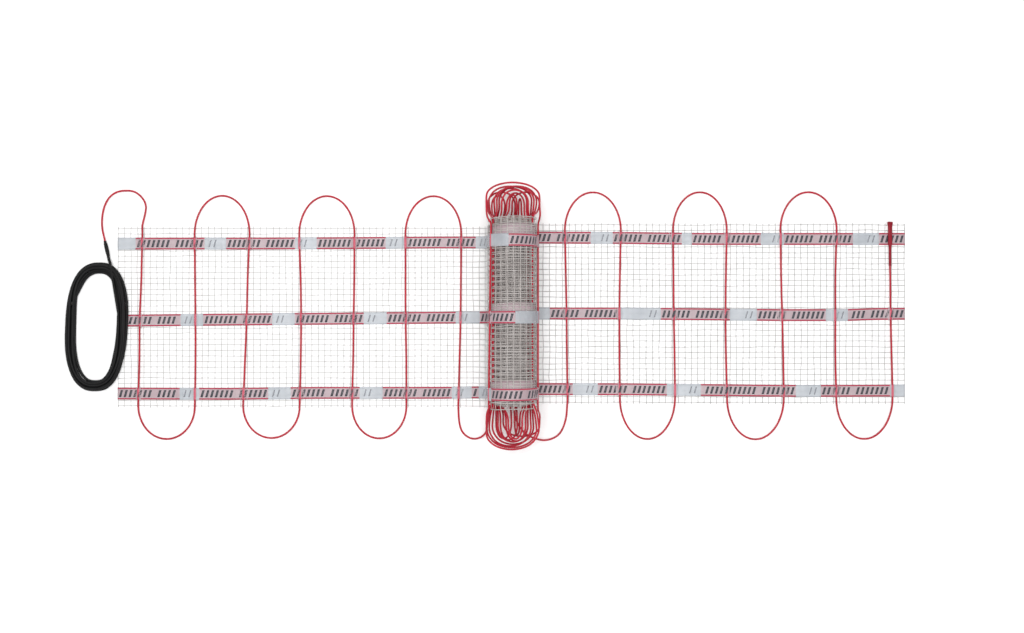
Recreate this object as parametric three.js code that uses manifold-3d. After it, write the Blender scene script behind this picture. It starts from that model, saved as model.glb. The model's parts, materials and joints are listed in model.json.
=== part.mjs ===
// Underfloor heating mat lying flat, with its middle still wound on a roll. Millimetres, +Z up.
// X runs along the mat, Y across it, and the roll's axis lies along Y.
import * as THREE from "three";
import { mergeVertices } from "three/addons/utils/BufferGeometryUtils.js";
import Module from "manifold-3d";

// Glass-fibre mesh
const halfLength = 787; // middle of the mat to either free end
const meshWidth = 365;
const meshThickness = 0.8; // threads over and under each other
const leftShift = -3; // how far each sheet lies off the centre line
const rightShift = 4;

// Openings of the mesh: a plain grid that stands for the finer one, with ribs for the threads
const gridRows = 12;
const gridColumns = 12; // on each sheet
const ribWidth = 5;
const rightGridStart = 32; // clear of the roll above
const riserOpening = 38; // height to which the riser is open
const bendSteps = 6;

// Roll: the middle of the mat, wound from both sides at once
const rollRadius = 50;
const boreRadius = 15;
const rollX = 3.4;
const rollTop = 192; // end faces, along Y
const rollBottom = -186;
const layerPitch = 4.3; // mesh and cable together
const turnGroove = 1.6; // depth of the gap seen between two layers at the ends
const bendRadius = 20; // where the left sheet turns up from the floor
const rollSegments = 32;

// Heating cable
const cableDiameter = 3.6;
const cableSides = 8;
const leftFirstRun = 44.5; // from the mat's left end to its first run
const leftRunPitch = 106.6;
const leftRuns = 7;
const leftLean = 4; // every second run on the left leans by this much at each end
const rightLastRun = 28; // from the mat's right end to its last run
const rightRunPitch = 108.2;
const rightRuns = 7;
const wrapStart = 22; // from the roll's left side to the first run on it
const wrapPitch = 109;
const leftReach = 61; // how far a loop stands out past the mesh
const rightReach = 66;
const rollLoopReach = 66; // past the roll's end face
const loopSteps = 8;
const rollLoopSteps = 12;
const rollLoopLayers = 7;
const rollLoopStagger = 4; // by which the loops of three layers differ in reach
const loopDrop = 25; // past this distance from the mesh a loop lies on the floor

// Mounting tape over the cable
const tapeWidth = 25;
const tapeThickness = 0.4;
const tapeSpacing = 150; // middle of the middle tape to the middle of either other
const tapeRise = 5.5; // half the width of the ridge over a cable
const tapeCrest = 1.2; // half its flat top
const tapeWrapEnd = 235; // degrees round the roll from its left side, clockwise
const tapeUnderRoll = 24; // where the right tapes start, from the roll's axis
const tapeArcStep = 7.5; // degrees

// End seal: heat-shrink sleeve with its end pressed flat, on top of the top tape
const sealLength = 88;
const sealOverhang = 1.5; // past the mesh's edge
const sealNeckLength = 38;
const sealWidth = 8.6;
const sealHeight = 5.4;
const sealPressedWidth = 11;
const sealPressedHeight = 2.4;
const sealPressedLength = 7;
const sealTaper = 5; // from the neck to the full width, and from there to the pressed end
const sleeveWall = 0.8;
const sleeveSegments = 16;

// Splice between heating cable and cold lead
const spliceStart = new THREE.Vector2(-811.5, 150);
const spliceEnd = new THREE.Vector2(-804.5, 119.5);
const spliceDiameter = 7.4;
const spliceTaper = 6;

// Cold lead, wound into an oval hank beside the mat
const leadDiameter = 5.6;
const leadSides = 10;
const leadSteps = 8;
const hankX = -829.6;
const hankY = -21.8;
const hankHalfWidth = 62.3;
const hankHalfHeight = 129.8;
const hankBundle = 23;
const hankHeight = 11.5;
const hankRounding = 3.5;
const hankArcSteps = 7;
const hankEntry = 61; // degrees round the upper end at which the lead comes in
const hankEntryHeight = 5.5;

// Free tail of heating cable, from the first run round to the splice
const tailRoute = [
  [-730.7, 204.6],
  [-730.1, 218.6],
  [-734.3, 231.4],
  [-744.1, 242.6],
  [-755.5, 249],
  [-769.5, 250.4],
  [-786.3, 248.2],
  [-800.3, 239.8],
  [-810.1, 225.8],
  [-815.7, 208.8],
  [-817.9, 190.6],
  [-817.1, 173.8],
];
const tailSteps = 34;
const straightEnd = 7; // straight stretch of a cord at a face that it meets

const restGap = 0.3; // between pieces that touch
const floorGap = 0.1;
const cableRadius = cableDiameter / 2;
const cableLift = restGap + cableRadius; // cable centre above the mesh
const rollZ = rollRadius;
const bendX = rollX - rollRadius - bendRadius;
const bendZ = meshThickness + bendRadius;
const bendLength = (bendRadius * Math.PI) / 2;
const riserHeight = rollZ - bendZ;
const leftTop = leftShift + meshWidth / 2;
const leftBottom = leftShift - meshWidth / 2;
const rightTop = rightShift + meshWidth / 2;
const rightBottom = rightShift - meshWidth / 2;

const wasm = await Module();
wasm.setup();

const finish = {
  mesh: { color: 0xe4e6e8, roughness: 0.7, metalness: 0 },
  cable: { color: 0xb5172f, roughness: 0.45, metalness: 0 },
  tape: { color: 0xcfc8cc, roughness: 0.35, metalness: 0 },
  seal: { color: 0x8c2e3c, roughness: 0.5, metalness: 0 },
  lead: { color: 0x1e1e20, roughness: 0.5, metalness: 0 },
};

const mat = new THREE.Group();
const cords = new THREE.Group();

function addPiece(name, geometry, look, group = mat) {
  const piece = new THREE.Mesh(geometry, new THREE.MeshStandardMaterial(look));
  piece.name = name;
  group.add(piece);
  return piece;
}

// A route that has one tube step between two stations, long on a straight run and short in a bend.
class StationCurve extends THREE.Curve {
  constructor(stations) {
    super();
    this.stations = stations;
  }

  getPoint(t, target = new THREE.Vector3()) {
    const last = this.stations.length - 1;
    const place = Math.min(Math.max(t, 0), 1) * last;
    const index = Math.min(Math.floor(place), last - 1);
    return target.lerpVectors(this.stations[index], this.stations[index + 1], place - index);
  }

  getPointAt(u, target) {
    return this.getPoint(u, target);
  }

  getTangentAt(u, target = new THREE.Vector3()) {
    const last = this.stations.length - 1;
    const index = Math.round(u * last);
    const here = this.stations[index];
    const before = this.stations[Math.max(index - 1, 0)];
    const after = this.stations[Math.min(index + 1, last)];
    const arriving = new THREE.Vector3().subVectors(here, before).normalize();
    const leaving = new THREE.Vector3().subVectors(after, here).normalize();
    return target.addVectors(arriving, leaving).normalize();
  }
}

function tube(stations, diameter, sides) {
  const corners = [];
  for (let i = 0; i < sides; i++) {
    const angle = (2 * Math.PI * (i + 0.5)) / sides;
    corners.push(new THREE.Vector2(Math.cos(angle), Math.sin(angle)).multiplyScalar(diameter / 2));
  }
  return new THREE.ExtrudeGeometry(new THREE.Shape(corners), {
    steps: stations.length - 1,
    bevelEnabled: false,
    extrudePath: new StationCurve(stations),
  });
}

// A closed XZ outline, extruded across the mat from yLow to yHigh.
function acrossMat(outline, yLow, yHigh) {
  const geometry = new THREE.ExtrudeGeometry(new THREE.Shape(outline), {
    depth: yHigh - yLow,
    bevelEnabled: false,
  });
  geometry.rotateX(Math.PI / 2);
  geometry.translate(0, yHigh, 0);
  return geometry;
}

// The left sheet's upper face as a line in XZ. s is 0 where the sheet meets the roll and grows
// over the roll's top. Below 0 it runs down the riser, round the bend and out along the floor.
function leftLine(s, lift) {
  if (s >= 0) {
    const angle = Math.PI - s / rollRadius;
    const radius = rollRadius + lift;
    return new THREE.Vector2(rollX + radius * Math.cos(angle), rollZ + radius * Math.sin(angle));
  }
  if (s > -riserHeight) return new THREE.Vector2(rollX - rollRadius - lift, rollZ + s);
  const along = -s - riserHeight;
  if (along < bendLength) {
    const turn = along / bendRadius;
    const radius = bendRadius - lift;
    return new THREE.Vector2(bendX + radius * Math.cos(turn), bendZ - radius * Math.sin(turn));
  }
  return new THREE.Vector2(bendX - (along - bendLength), meshThickness + lift);
}

function leftLineAt(x) {
  return x - bendX - riserHeight - bendLength;
}

// How far a cable has come down from the mesh to the floor, beyond the mesh's edge.
function dropPastEdge(y, edgeLow, edgeHigh) {
  const beyond = Math.max(y - edgeHigh, edgeLow - y, 0);
  const share = Math.min(beyond / loopDrop, 1);
  return share * (meshThickness + restGap - floorGap);
}

function placeLeft(s, y) {
  const point = leftLine(s, cableLift);
  const flat = s < -riserHeight - bendLength;
  const drop = flat ? dropPastEdge(y, leftBottom, leftTop) : 0;
  return new THREE.Vector3(point.x, y, point.y - drop);
}

function placeRight(x, y) {
  const drop = dropPastEdge(y, rightBottom, rightTop);
  return new THREE.Vector3(x, y, meshThickness + cableLift - drop);
}

// Half an ellipse from one run to the next, past the edge that both end on.
function loopStations(place, from, to, edge, reach) {
  const stations = [];
  for (let i = 1; i < loopSteps; i++) {
    const u = (Math.PI * i) / loopSteps;
    const along = from + ((to - from) * (1 - Math.cos(u))) / 2;
    stations.push(place(along, edge + Math.sign(edge) * reach * Math.sin(u)));
  }
  return stations;
}

// Runs up and down the sheet, joined by loops. Each run is [place at its top, place at its bottom].
function meander(runs, place, yTop, yBottom, reach, downFirst) {
  const stations = [];
  runs.forEach(([top, bottom], i) => {
    const down = (i % 2 === 0) === downFirst;
    stations.push(place(down ? top : bottom, down ? yTop : yBottom));
    stations.push(place(down ? bottom : top, down ? yBottom : yTop));
    const next = runs[i + 1];
    if (!next) return;
    const [from, to] = down ? [bottom, next[1]] : [top, next[0]];
    stations.push(...loopStations(place, from, to, down ? yBottom : yTop, reach(i)));
  });
  return stations;
}

function onRoll(radius, angle, y) {
  return new THREE.Vector3(rollX + radius * Math.cos(angle), y, rollZ + radius * Math.sin(angle));
}

// Turned body of the roll. Its end faces are grooved between the layers.
function rollGeometry() {
  const layers = Math.round((rollRadius - boreRadius) / layerPitch);
  const pitch = (rollRadius - boreRadius) / layers;
  const profile = [new THREE.Vector2(boreRadius, rollBottom)];
  const endFace = (face, inward, radiusOf) => {
    for (let i = 0; i < layers; i++) {
      profile.push(new THREE.Vector2(radiusOf(i + 0.25), face));
      profile.push(new THREE.Vector2(radiusOf(i + 0.75), face));
      if (i < layers - 1) profile.push(new THREE.Vector2(radiusOf(i + 1), face + inward));
    }
  };
  endFace(rollBottom, turnGroove, (i) => boreRadius + i * pitch);
  profile.push(new THREE.Vector2(rollRadius, rollBottom));
  profile.push(new THREE.Vector2(rollRadius, rollTop));
  endFace(rollTop, -turnGroove, (i) => rollRadius - i * pitch);
  profile.push(new THREE.Vector2(boreRadius, rollTop));
  profile.push(profile[0].clone());
  return new THREE.LatheGeometry(profile, rollSegments).translate(rollX, 0, rollZ);
}

function solidOf(geometry) {
  const bare = geometry.clone();
  bare.deleteAttribute("normal");
  bare.deleteAttribute("uv");
  const merged = mergeVertices(bare, 1e-4);
  return new wasm.Manifold(
    new wasm.Mesh({
      numProp: 3,
      vertProperties: new Float32Array(merged.attributes.position.array),
      triVerts: new Uint32Array(merged.index.array),
    }),
  );
}

function geometryOf(solid) {
  const mesh = solid.getMesh();
  return new THREE.BufferGeometry()
    .setAttribute("position", new THREE.BufferAttribute(mesh.vertProperties, 3))
    .setIndex(new THREE.BufferAttribute(mesh.triVerts, 1));
}

// A grid of openings through a sheet. A rib runs along the sheet's middle.
function gridOpenings(xLow, xHigh, yMiddle) {
  const columnPitch = (xHigh - xLow) / gridColumns;
  const rowPitch = (meshWidth - ribWidth) / gridRows;
  const size = [columnPitch - ribWidth, rowPitch - ribWidth, 4 * meshThickness];
  const openings = [];
  for (let column = 0; column < gridColumns; column++) {
    for (let row = 0; row < gridRows; row++) {
      const x = xLow + (column + 0.5) * columnPitch;
      const y = yMiddle + (row + 0.5 - gridRows / 2) * rowPitch;
      openings.push(wasm.Manifold.cube(size, true).translate([x, y, meshThickness / 2]));
    }
  }
  return openings;
}

// One row of openings round the bend and up the riser.
function bendOpenings(xLow) {
  const rowPitch = (meshWidth - ribWidth) / gridRows;
  const xHigh = rollX - rollRadius + meshThickness + restGap / 2;
  const openings = [];
  for (let row = 0; row < gridRows; row++) {
    const y = leftShift + (row - gridRows / 2) * rowPitch + ribWidth / 2;
    const opening = wasm.Manifold.cube([xHigh - xLow, rowPitch - ribWidth, riserOpening + meshThickness]);
    openings.push(opening.translate([xLow, y, -meshThickness]));
  }
  return openings;
}

// One continuous mesh: left sheet, riser, roll and right sheet.
function meshGeometry() {
  const upper = [new THREE.Vector2(-halfLength, meshThickness)];
  const lower = [new THREE.Vector2(-halfLength, 0)];
  for (let i = 0; i <= bendSteps; i++) {
    const s = -riserHeight - bendLength * (1 - i / bendSteps);
    upper.push(leftLine(s - 1e-6, 0));
    lower.push(leftLine(s - 1e-6, -meshThickness));
  }
  upper.push(leftLine(0, 0));
  lower.push(leftLine(-1e-6, -meshThickness));
  const leftSheet = acrossMat([...upper, ...lower.reverse()], leftBottom, leftTop);
  const rightOutline = [
    new THREE.Vector2(rollX, 0),
    new THREE.Vector2(halfLength, 0),
    new THREE.Vector2(halfLength, meshThickness),
    new THREE.Vector2(rollX, meshThickness),
  ];
  const rightSheet = acrossMat(rightOutline, rightBottom, rightTop);
  const closed = solidOf(rollGeometry()).add(solidOf(leftSheet)).add(solidOf(rightSheet));
  const openings = [
    ...gridOpenings(-halfLength + ribWidth / 2, bendX - ribWidth / 2, leftShift),
    ...bendOpenings(bendX),
    ...gridOpenings(rightGridStart, halfLength - ribWidth / 2, rightShift),
  ];
  return geometryOf(closed.subtract(wasm.Manifold.union(openings)));
}

// Cable: left sheet and the two runs that lie outside the roll
const leftRunPlaces = [];
for (let i = 0; i < leftRuns; i++) {
  const s = leftLineAt(-halfLength + leftFirstRun + i * leftRunPitch);
  const lean = i % 2 === 0 ? leftLean : 0;
  leftRunPlaces.push([s + lean, s - lean]);
}
const wrapRunPlaces = [wrapStart, wrapStart + wrapPitch].map((s) => [s, s]);
const allLeftRuns = [...leftRunPlaces, ...wrapRunPlaces];
const rollLoopApex = rollTop + rollLoopReach;
const firstWrapRun = leftRuns;

function leftCableStations() {
  const reach = (i) => (i === firstWrapRun ? rollLoopApex - leftTop : leftReach);
  const stations = meander(allLeftRuns, placeLeft, leftTop, leftBottom, reach, true);
  // The last loop leaves the outside of the roll and goes in at its lower end face.
  const startAngle = Math.PI - (wrapStart + wrapPitch) / rollRadius;
  const startRadius = rollRadius + cableLift;
  const footRadius = rollRadius - layerPitch / 2;
  const sweep = wrapPitch / footRadius;
  const foot = rollBottom - restGap;
  for (let i = 1; i <= rollLoopSteps; i++) {
    const u = (Math.PI * i) / rollLoopSteps;
    const share = (1 - Math.cos(u)) / 2;
    const radius = startRadius + (footRadius - startRadius) * share;
    const edge = leftBottom + (foot - leftBottom) * share;
    const y = edge - (rollLoopApex + foot) * Math.sin(u);
    stations.push(onRoll(radius, startAngle - sweep * share, y));
  }
  return stations;
}

// Cable: right sheet, from under the roll to the end seal
const rightLastX = halfLength - rightLastRun;
const rightRunPlaces = [];
for (let i = rightRuns - 1; i >= 0; i--) {
  const x = rightLastX - i * rightRunPitch;
  rightRunPlaces.push([x, x]);
}
const sealStart = rightTop + sealOverhang - sealLength;
const sealZ = meshThickness + restGap + tapeThickness + restGap + sealHeight / 2;

function rightCableStations() {
  const foot = rollBottom - restGap;
  const footZ = cableRadius + floorGap;
  const firstX = rightRunPlaces[0][1];
  const stations = [new THREE.Vector3(rollX, foot, footZ)];
  for (let i = 1; i < loopSteps; i++) {
    const u = (Math.PI * i) / loopSteps;
    const share = (1 - Math.cos(u)) / 2;
    const y = foot + (rightBottom - foot) * share - rightReach * Math.sin(u);
    stations.push(new THREE.Vector3(rollX + (firstX - rollX) * share, y, footZ));
  }
  stations.push(...meander(rightRunPlaces, placeRight, rightTop, rightBottom, () => rightReach, false));
  // The last run ends in the seal, which is raised by the tape beneath it.
  stations[stations.length - 1].y = sealStart - 3 * straightEnd;
  [straightEnd, restGap].forEach((before) => {
    stations.push(new THREE.Vector3(rightLastX, sealStart - before, sealZ));
  });
  return stations;
}

// Loops of the wound part of the cable. The one on a layer keeps to that layer's radius, and
// starts at the angle that the run's length along the winding brings it to.
function windingAngle(length) {
  const turnPitch = 2 * layerPitch;
  const inner = Math.sqrt(rollRadius ** 2 - (turnPitch * length) / Math.PI);
  return ((rollRadius - inner) * 2 * Math.PI) / turnPitch;
}

function rollLoopStations(layer, end, fromLeftSheet) {
  const radius = rollRadius - (layer - 0.5) * layerPitch;
  const length = fromLeftSheet ? wrapStart + layer * wrapPitch : (layer - 1) * wrapPitch;
  const startAngle = (fromLeftSheet ? Math.PI : -Math.PI / 2) - windingAngle(length);
  const face = end > 0 ? rollTop + restGap : -rollBottom + restGap;
  const reach = rollLoopApex - face - rollLoopStagger * (layer % 3);
  const stations = [];
  for (let i = 0; i <= rollLoopSteps; i++) {
    const u = (Math.PI * i) / rollLoopSteps;
    const angle = startAngle - ((wrapPitch / radius) * (1 - Math.cos(u))) / 2;
    stations.push(onRoll(radius, angle, end * (face + reach * Math.sin(u))));
  }
  return stations;
}

// Tape: lies on the mesh and is raised over each cable that it crosses.
function tapeGeometry(line, from, to, crossings, arcStations, yMiddle) {
  const flat = restGap;
  const stations = [[from, flat]];
  crossings.forEach(({ at, rise, crest, height }) => {
    const top = restGap + height + restGap;
    stations.push([at - rise, flat], [at - crest, top], [at + crest, top], [at + rise, flat]);
  });
  stations.push([to, flat]);
  const clear = arcStations.filter((s) => crossings.every(({ at, rise }) => Math.abs(s - at) > rise + 1));
  clear.forEach((s) => stations.push([s, flat]));
  stations.sort((a, b) => a[0] - b[0]);
  const under = stations.map(([s, lift]) => line(s, lift));
  const over = stations.map(([s, lift]) => line(s, lift + tapeThickness));
  return acrossMat([...under, ...over.reverse()], yMiddle - tapeWidth / 2, yMiddle + tapeWidth / 2);
}

function placeBetween([top, bottom], y, yTop, yBottom) {
  return bottom + ((top - bottom) * (y - yBottom)) / (yTop - yBottom);
}

function addTapes() {
  const arcStep = THREE.MathUtils.degToRad(tapeArcStep);
  const wrapEnd = rollRadius * THREE.MathUtils.degToRad(tapeWrapEnd);
  const arcStations = [-1e-6];
  for (let turn = 0; turn <= Math.PI / 2; turn += arcStep) {
    arcStations.push(-riserHeight - turn * bendRadius - 1e-6);
  }
  for (let s = 0; s < wrapEnd - 1; s += rollRadius * arcStep) arcStations.push(s);
  [
    ["top", tapeSpacing],
    ["middle", 0],
    ["bottom", -tapeSpacing],
  ].forEach(([name, offset]) => {
    const overCable = (at) => ({ at, rise: tapeRise, crest: tapeCrest, height: cableDiameter });
    const leftY = leftShift + offset;
    const left = allLeftRuns.map((run) => overCable(placeBetween(run, leftY, leftTop, leftBottom)));
    const leftStart = leftLineAt(-halfLength);
    const leftShape = tapeGeometry(leftLine, leftStart, wrapEnd, left, arcStations, leftY);
    addPiece("tape_" + name + "_left", leftShape, finish.tape);

    const rightY = rightShift + offset;
    const right = rightRunPlaces.map((run) => overCable(run[0]));
    if (rightY > sealStart) right.pop(); // the seal lies on top of this tape
    const rightLine = (x, lift) => new THREE.Vector2(x, meshThickness + lift);
    const rightStart = rollX + tapeUnderRoll;
    const rightShape = tapeGeometry(rightLine, rightStart, halfLength, right, [], rightY);
    addPiece("tape_" + name + "_right", rightShape, finish.tape);
  });
}

// Turned about Y, then flattened more and more towards its pressed end.
function sealGeometry() {
  const neck = cableRadius + sleeveWall;
  const pressedStart = sealLength - sealPressedLength;
  const stations = [
    [0, neck, neck],
    [sealNeckLength, neck, neck],
    [sealNeckLength + sealTaper, sealWidth / 2, sealHeight / 2],
    [pressedStart - sealTaper, sealWidth / 2, sealHeight / 2],
    [pressedStart, sealPressedWidth / 2, sealPressedHeight / 2],
    [sealLength, sealPressedWidth / 2, sealPressedHeight / 2],
  ];
  const profile = stations.map(([y, radius]) => new THREE.Vector2(radius, y));
  profile.unshift(new THREE.Vector2(0, 0));
  profile.push(new THREE.Vector2(0, sealLength));
  const geometry = new THREE.LatheGeometry(profile, sleeveSegments);
  const position = geometry.attributes.position;
  for (let i = 0; i < position.count; i++) {
    const nearest = stations.find(([y]) => Math.abs(y - position.getY(i)) < 1e-3);
    position.setZ(i, (position.getZ(i) * nearest[2]) / nearest[1]);
  }
  return geometry;
}

function addSeal() {
  const seal = addPiece("end_seal", sealGeometry(), finish.seal);
  seal.position.set(rightLastX, sealStart, sealZ);
}

function addSplice() {
  const length = spliceStart.distanceTo(spliceEnd);
  const radius = spliceDiameter / 2;
  const profile = [
    [0, 0],
    [cableRadius + sleeveWall, 0],
    [radius, spliceTaper],
    [radius, length - spliceTaper],
    [leadDiameter / 2 + sleeveWall, length],
    [0, length],
  ].map(([r, y]) => new THREE.Vector2(r, y));
  const splice = addPiece("splice_sleeve", new THREE.LatheGeometry(profile, sleeveSegments), finish.lead, cords);
  const along = new THREE.Vector2().subVectors(spliceEnd, spliceStart);
  splice.position.set(spliceStart.x, spliceStart.y, spliceZ);
  splice.rotation.z = Math.atan2(along.y, along.x) - Math.PI / 2;
}

const spliceZ = spliceDiameter / 2 + floorGap;
const spliceAlong = new THREE.Vector2().subVectors(spliceEnd, spliceStart).normalize();

function atSplice(end, beyond) {
  const point = end.clone().addScaledVector(spliceAlong, beyond);
  return new THREE.Vector3(point.x, point.y, spliceZ);
}

function addTail() {
  const [firstTop] = leftRunPlaces[0];
  const root = placeLeft(firstTop, leftTop);
  const floorZ = cableRadius + floorGap;
  const points = [
    new THREE.Vector3(root.x, leftTop + restGap, root.z),
    new THREE.Vector3(root.x, leftTop + straightEnd, root.z),
    ...tailRoute.map(([x, y]) => new THREE.Vector3(x, y, floorZ)),
    atSplice(spliceStart, -straightEnd),
    atSplice(spliceStart, -restGap),
  ];
  const curve = new THREE.CatmullRomCurve3(points, false, "centripetal");
  const geometry = tube(curve.getSpacedPoints(tailSteps), cableDiameter, cableSides);
  addPiece("cable_tail", geometry, finish.cable, cords);
}

function hankOutline(halfWidth, halfHeight) {
  const outline = new THREE.Path();
  const straight = halfHeight - halfWidth;
  outline.absarc(hankX, hankY + straight, halfWidth, 0, Math.PI, false);
  outline.absarc(hankX, hankY - straight, halfWidth, Math.PI, 2 * Math.PI, false);
  outline.closePath();
  return outline.getPoints(hankArcSteps);
}

function addHank() {
  const bottom = meshThickness + restGap + tapeThickness + restGap;
  const inset = hankRounding;
  const shape = new THREE.Shape(hankOutline(hankHalfWidth - inset, hankHalfHeight - inset));
  const inner = hankBundle - inset;
  shape.holes.push(new THREE.Path(hankOutline(hankHalfWidth - inner, hankHalfHeight - inner)));
  const geometry = new THREE.ExtrudeGeometry(shape, {
    depth: hankHeight - 2 * hankRounding,
    bevelEnabled: true,
    bevelThickness: hankRounding,
    bevelSize: hankRounding,
    bevelSegments: 2,
  });
  geometry.translate(0, 0, bottom + hankRounding);
  addPiece("cold_lead_hank", geometry, finish.lead, cords);
}

function addLead() {
  const angle = THREE.MathUtils.degToRad(hankEntry);
  const outward = new THREE.Vector2(Math.cos(angle), Math.sin(angle));
  const endCentreY = hankY + hankHalfHeight - hankHalfWidth;
  const atHank = (gap) =>
    new THREE.Vector3(
      hankX + outward.x * (hankHalfWidth + gap),
      endCentreY + outward.y * (hankHalfWidth + gap),
      hankEntryHeight,
    );
  const points = [
    atSplice(spliceEnd, restGap),
    atSplice(spliceEnd, straightEnd),
    atHank(straightEnd),
    atHank(restGap),
  ];
  const curve = new THREE.CatmullRomCurve3(points, false, "centripetal");
  const geometry = tube(curve.getSpacedPoints(leadSteps), leadDiameter, leadSides);
  addPiece("cold_lead", geometry, finish.lead, cords);
}

addPiece("glass_fibre_mesh", meshGeometry(), finish.mesh);
addPiece("heating_cable_left", tube(leftCableStations(), cableDiameter, cableSides), finish.cable);
addPiece("heating_cable_right", tube(rightCableStations(), cableDiameter, cableSides), finish.cable);
for (let layer = 1; layer <= rollLoopLayers; layer++) {
  const even = layer % 2 === 0;
  const upper = tube(rollLoopStations(layer, 1, even), cableDiameter, cableSides);
  addPiece("roll_loop_top_" + layer, upper, finish.cable);
  if (layer === 1) continue;
  const lower = tube(rollLoopStations(layer, -1, !even), cableDiameter, cableSides);
  addPiece("roll_loop_bottom_" + layer, lower, finish.cable);
}
addTapes();
addSeal();
addSplice();
addTail();
addHank();
addLead();

// The frame's origin is under the middle of the mat itself, cords left out.
const matBox = new THREE.Box3().setFromObject(mat);
const middle = matBox.getCenter(new THREE.Vector3());
const whole = new THREE.Group();
whole.add(mat, cords);
whole.position.set(-middle.x, -middle.y, -matBox.min.z);

export default whole;
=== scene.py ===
import json
import math
import bpy
import numpy as np
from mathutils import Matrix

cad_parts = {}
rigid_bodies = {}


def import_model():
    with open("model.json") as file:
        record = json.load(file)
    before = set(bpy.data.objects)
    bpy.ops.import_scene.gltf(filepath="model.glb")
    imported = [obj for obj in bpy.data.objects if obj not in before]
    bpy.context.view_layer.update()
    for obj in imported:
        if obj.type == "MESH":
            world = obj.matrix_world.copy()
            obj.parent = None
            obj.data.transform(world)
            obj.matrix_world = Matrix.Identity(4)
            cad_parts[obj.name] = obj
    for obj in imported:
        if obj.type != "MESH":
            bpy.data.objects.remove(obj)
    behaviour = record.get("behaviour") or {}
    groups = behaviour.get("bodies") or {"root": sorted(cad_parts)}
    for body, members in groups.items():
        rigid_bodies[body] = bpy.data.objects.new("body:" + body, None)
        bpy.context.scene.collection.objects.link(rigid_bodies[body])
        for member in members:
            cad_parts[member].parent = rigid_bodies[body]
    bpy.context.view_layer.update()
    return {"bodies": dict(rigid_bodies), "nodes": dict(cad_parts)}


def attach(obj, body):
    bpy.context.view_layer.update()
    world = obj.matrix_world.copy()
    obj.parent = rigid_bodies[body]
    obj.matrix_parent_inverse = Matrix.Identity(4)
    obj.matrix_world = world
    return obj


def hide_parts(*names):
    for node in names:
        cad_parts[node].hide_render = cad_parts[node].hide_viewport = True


# Underfloor heating mat: glass-fibre net, red heating cable, three printed tapes, cold lead in a coil.
# All settings are in millimetres in the part's own frame and become metres when a mesh is made.

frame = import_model()
mm = 0.001
body = list(frame["bodies"])[0]
bpy.context.scene.view_settings.view_transform = "Standard"

photo = {
    "width": 1024,
    "scale": 2.0,        # mm of floor to a pixel
    "centreX": 1.5,      # the floor point in the middle of the picture
    "centreY": -1.0,
    "distance": 2400,    # camera above the floor
    "sensor": 36,
}


def makeCamera():
    data = bpy.data.cameras.new("camera")
    data.sensor_width = photo["sensor"]
    pixels = photo["distance"] / photo["scale"]
    data.lens = photo["sensor"] * pixels / photo["width"]
    data.clip_end = 30
    camera = bpy.data.objects.new("camera", data)
    camera.location = (photo["centreX"] * mm, photo["centreY"] * mm, photo["distance"] * mm)
    bpy.context.scene.collection.objects.link(camera)
    bpy.context.scene.camera = camera


makeCamera()
print("camera made")


# Materials

def fromHex(code):
    parts = [int(code[i:i + 2], 16) / 255 for i in (1, 3, 5)]
    linear = [p / 12.92 if p <= 0.04045 else ((p + 0.055) / 1.055) ** 2.4 for p in parts]
    return (*linear, 1)


def addNode(material, kind, settings=None, links=None):
    node = material.node_tree.nodes.new(kind)
    for name, value in (settings or {}).items():
        if isinstance(name, int) or name in node.inputs:
            node.inputs[name].default_value = value
        else:
            setattr(node, name, value)
    for name, source in (links or {}).items():
        material.node_tree.links.new(source, node.inputs[name])
    return node


def newMaterial(name):
    material = bpy.data.materials.new(name)
    material.use_nodes = True
    material.node_tree.nodes.clear()
    return material


def finishMaterial(material, shader):
    addNode(material, "ShaderNodeOutputMaterial", {}, {"Surface": shader.outputs[0]})
    return material


def colourSpread(material, coords, scale, dark, light, detail=3):
    # A slow drift between two hex colours, from a noise of the given size in millimetres.
    noise = addNode(material, "ShaderNodeTexNoise", {"Scale": 1000 / scale, "Detail": detail},
                    {"Vector": coords})
    ramp = addNode(material, "ShaderNodeValToRGB", {}, {"Fac": noise.outputs["Fac"]})
    ramp.color_ramp.elements[0].position = 0.3
    ramp.color_ramp.elements[0].color = fromHex(dark)
    ramp.color_ramp.elements[1].position = 0.7
    ramp.color_ramp.elements[1].color = fromHex(light)
    return ramp.outputs["Color"]


def roughBump(material, coords, scale, strength, distance, detail=4):
    # Fine relief: scale and distance in millimetres.
    noise = addNode(material, "ShaderNodeTexNoise", {"Scale": 1000 / scale, "Detail": detail},
                    {"Vector": coords})
    bump = addNode(material, "ShaderNodeBump", {"Strength": strength, "Distance": distance * mm},
                   {"Height": noise.outputs["Fac"]})
    return bump.outputs["Normal"]


def pvcSheath(name, dark, light, roughness, specular):
    # Extruded PVC cable sheath: even colour, satin gloss, a faint draw texture along its length.
    material = newMaterial(name)
    coords = addNode(material, "ShaderNodeTexCoord").outputs["Object"]
    colour = colourSpread(material, coords, 30, dark, light)
    normal = roughBump(material, coords, 1.2, 0.25, 0.08)
    shader = addNode(material, "ShaderNodeBsdfPrincipled",
                     {"Roughness": roughness, "IOR": 1.53, "Specular IOR Level": specular},
                     {"Base Color": colour, "Normal": normal})
    return finishMaterial(material, shader)


def glassFibreScrim(name, dark, light):
    # Alkali-resistant glass-fibre scrim dipped in a clear binder: pale grey threads, half glossy.
    material = newMaterial(name)
    coords = addNode(material, "ShaderNodeTexCoord").outputs["Object"]
    colour = colourSpread(material, coords, 26, dark, light)
    normal = roughBump(material, coords, 0.5, 0.5, 0.1)
    shader = addNode(material, "ShaderNodeBsdfPrincipled",
                     {"Roughness": 0.5, "IOR": 1.52},
                     {"Base Color": colour, "Normal": normal})
    return finishMaterial(material, shader)


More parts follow.
